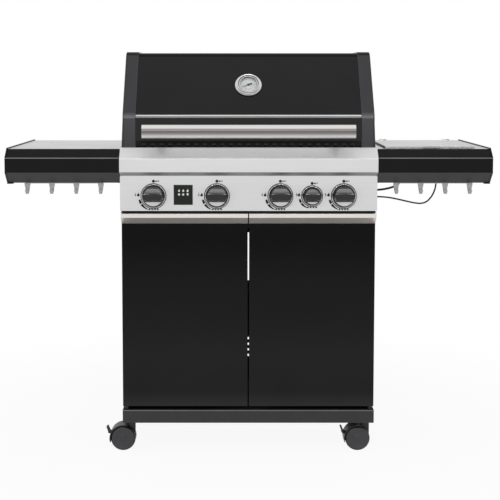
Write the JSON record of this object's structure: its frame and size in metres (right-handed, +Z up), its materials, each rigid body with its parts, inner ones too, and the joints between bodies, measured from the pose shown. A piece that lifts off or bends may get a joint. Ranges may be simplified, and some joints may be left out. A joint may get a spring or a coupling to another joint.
{
  "type": "gas barbecue grill",
  "caption": "Gas barbecue grill on a wheeled two-door cabinet, with a roll-up lid, side tables, a side burner and a warming rack.",
  "frame": {"origin": "on the floor, midway in width and in depth, under the grill", "axes": "+X to the right when facing the doors, -Y to the front, +Z up"},
  "size_m": [1.33, 0.54, 1.1331],
  "materials": {
    "enamel": "gloss black enamel",
    "satin_black": "satin black powder coat",
    "stainless": "brushed stainless steel",
    "steel_tray": "plain steel",
    "wire": "nickel-plated wire",
    "cast_caps": "dark grey painted casting",
    "chromed": "polished chrome",
    "brass_taps": "turned",
    "iron": "matte enamelled",
    "cord_rubber": "matte",
    "dial": "matte white",
    "needle": "matte black",
    "clear_glass": "clear",
    "dark_screen": "gloss",
    "caster_steel": "blackened",
    "caster_plastic": "satin",
    "wheel_plastic": "satin"
  },
  "bodies": {
    "cart": {"base_pan": "satin_black", "side_panel_left": "satin_black", "side_panel_right": "satin_black", "back_panel": "satin_black", "front_crossbar": "satin_black", "firebox": "satin_black", "table_left_fascia": "satin_black", "table_right_fascia": "satin_black", "side_burner": "satin_black", "control_panel": "stainless", "table_left_top": "stainless", "table_right_top": "stainless", "hook_rails": "stainless", "flame_tamers": "stainless", "burners": "stainless", "gas_manifold": "steel_tray", "screws": "steel_tray", "warming_rack": "wire", "knob_bezels": "chromed", "cooking_grates": "iron", "side_burner_grate": "iron", "ignition_lead": "cord_rubber", "burner_hose": "cord_rubber", "grommets": "cord_rubber", "touch_panel": "dark_screen", "caster_plates": "caster_steel"},
    "lid": {"lid_shell": "enamel", "lid_end_caps": "cast_caps", "lid_handle": "stainless", "thermometer_case": "stainless", "thermometer_dial": "dial", "thermometer_glass": "clear_glass"},
    "needle": {"thermometer_needle": "needle"},
    "door_left_leaf": {"door_left": "satin_black", "door_handle_left": "stainless"},
    "door_right_leaf": {"door_right": "satin_black", "door_handle_right": "stainless"},
    "burner_cover": {"side_burner_lid": "stainless"},
    "tray": {"grease_tray": "steel_tray", "grease_cup": "stainless"},
    "plug_1": {"tap_plug_1": "brass_taps"},
    "knob_1": {"knob_1": "chromed"},
    "plug_2": {"tap_plug_2": "brass_taps"},
    "knob_2": {"knob_2": "chromed"},
    "plug_3": {"tap_plug_3": "brass_taps"},
    "knob_3": {"knob_3": "chromed"},
    "plug_4": {"tap_plug_4": "brass_taps"},
    "knob_4": {"knob_4": "chromed"},
    "plug_5": {"tap_plug_5": "brass_taps"},
    "knob_5": {"knob_5": "chromed"},
    "fork_1": {"caster_fork_1": "caster_plastic"},
    "wheel_1": {"caster_wheel_1": "wheel_plastic"},
    "fork_2": {"caster_fork_2": "caster_plastic"},
    "wheel_2": {"caster_wheel_2": "wheel_plastic"},
    "fork_3": {"caster_fork_3": "caster_plastic"},
    "wheel_3": {"caster_wheel_3": "wheel_plastic"},
    "fork_4": {"caster_fork_4": "caster_plastic"},
    "wheel_4": {"caster_wheel_4": "wheel_plastic"},
    "brake_1": {"caster_brake_1": "caster_plastic"},
    "brake_2": {"caster_brake_2": "caster_plastic"}
  },
  "joints": [
    {"name": "lid_hinge", "type": "hinge", "parent": "cart", "child": "lid", "pos_m": [0, 0.258, 0.88], "axis": [-1, 0, 0], "range_deg": [0, 85]},
    {"name": "door_left_hinge", "type": "hinge", "parent": "cart", "child": "door_left_leaf", "pos_m": [-0.343, -0.186, 0.4], "axis": [0, 0, -1], "range_deg": [0, 100]},
    {"name": "door_right_hinge", "type": "hinge", "parent": "cart", "child": "door_right_leaf", "pos_m": [0.343, -0.186, 0.4], "axis": [0, 0, 1], "range_deg": [0, 100]},
    {"name": "burner_cover_hinge", "type": "hinge", "parent": "cart", "child": "burner_cover", "pos_m": [0.5, 0.128, 0.8703], "axis": [-1, 0, 0], "range_deg": [0, 95]},
    {"name": "tray_slide", "type": "slide", "parent": "cart", "child": "tray", "axis": [0, 1, 0], "range_m": [0, 0.35]},
    {"name": "needle_turn", "type": "hinge", "parent": "lid", "child": "needle", "pos_m": [0, -0.13892, 1.03706], "axis": [0, 0.7986, -0.6018], "range_deg": [0, 270]},
    {"name": "knob_1_turn", "type": "hinge", "parent": "cart", "child": "plug_1", "pos_m": [-0.261, -0.231, 0.736], "axis": [0, -1, 0], "range_deg": [0, 180]},
    {"name": "knob_1_push", "type": "slide", "parent": "plug_1", "child": "knob_1", "axis": [0, 1, 0], "range_m": [0, 0.003], "stiffness_N_per_m": 1500, "springref_m": -0.004},
    {"name": "knob_2_turn", "type": "hinge", "parent": "cart", "child": "plug_2", "pos_m": [-0.087, -0.231, 0.736], "axis": [0, -1, 0], "range_deg": [0, 180]},
    {"name": "knob_2_push", "type": "slide", "parent": "plug_2", "child": "knob_2", "axis": [0, 1, 0], "range_m": [0, 0.003], "stiffness_N_per_m": 1500, "springref_m": -0.004},
    {"name": "knob_3_turn", "type": "hinge", "parent": "cart", "child": "plug_3", "pos_m": [0.087, -0.231, 0.736], "axis": [0, -1, 0], "range_deg": [0, 180]},
    {"name": "knob_3_push", "type": "slide", "parent": "plug_3", "child": "knob_3", "axis": [0, 1, 0], "range_m": [0, 0.003], "stiffness_N_per_m": 1500, "springref_m": -0.004},
    {"name": "knob_4_turn", "type": "hinge", "parent": "cart", "child": "plug_4", "pos_m": [0.174, -0.231, 0.736], "axis": [0, -1, 0], "range_deg": [0, 180]},
    {"name": "knob_4_push", "type": "slide", "parent": "plug_4", "child": "knob_4", "axis": [0, 1, 0], "range_m": [0, 0.003], "stiffness_N_per_m": 1500, "springref_m": -0.004},
    {"name": "knob_5_turn", "type": "hinge", "parent": "cart", "child": "plug_5", "pos_m": [0.261, -0.231, 0.736], "axis": [0, -1, 0], "range_deg": [0, 180]},
    {"name": "knob_5_push", "type": "slide", "parent": "plug_5", "child": "knob_5", "axis": [0, 1, 0], "range_m": [0, 0.003], "stiffness_N_per_m": 1500, "springref_m": -0.004},
    {"name": "caster_1_swivel", "type": "hinge", "parent": "cart", "child": "fork_1", "pos_m": [-0.334, -0.142, 0.08], "axis": [0, 0, 1], "continuous": true},
    {"name": "wheel_1_spin", "type": "hinge", "parent": "fork_1", "child": "wheel_1", "pos_m": [-0.356, -0.142, 0.035], "axis": [0, 1, 0], "continuous": true},
    {"name": "caster_2_swivel", "type": "hinge", "parent": "cart", "child": "fork_2", "pos_m": [0.334, -0.142, 0.08], "axis": [0, 0, 1], "continuous": true},
    {"name": "wheel_2_spin", "type": "hinge", "parent": "fork_2", "child": "wheel_2", "pos_m": [0.312, -0.142, 0.035], "axis": [0, 1, 0], "continuous": true},
    {"name": "caster_3_swivel", "type": "hinge", "parent": "cart", "child": "fork_3", "pos_m": [-0.334, 0.17, 0.08], "axis": [0, 0, 1], "continuous": true},
    {"name": "wheel_3_spin", "type": "hinge", "parent": "fork_3", "child": "wheel_3", "pos_m": [-0.312, 0.17, 0.035], "axis": [0, 1, 0], "continuous": true},
    {"name": "caster_4_swivel", "type": "hinge", "parent": "cart", "child": "fork_4", "pos_m": [0.334, 0.17, 0.08], "axis": [0, 0, 1], "continuous": true},
    {"name": "wheel_4_spin", "type": "hinge", "parent": "fork_4", "child": "wheel_4", "pos_m": [0.312, 0.17, 0.035], "axis": [0, 1, 0], "continuous": true},
    {"name": "brake_1_lever", "type": "hinge", "parent": "fork_1", "child": "brake_1", "pos_m": [-0.39688, -0.142, 0.04988], "axis": [0, -1, 0], "range_deg": [0, 30]},
    {"name": "brake_2_lever", "type": "hinge", "parent": "fork_2", "child": "brake_2", "pos_m": [0.27112, -0.142, 0.04988], "axis": [0, -1, 0], "range_deg": [0, 30]}
  ]
}
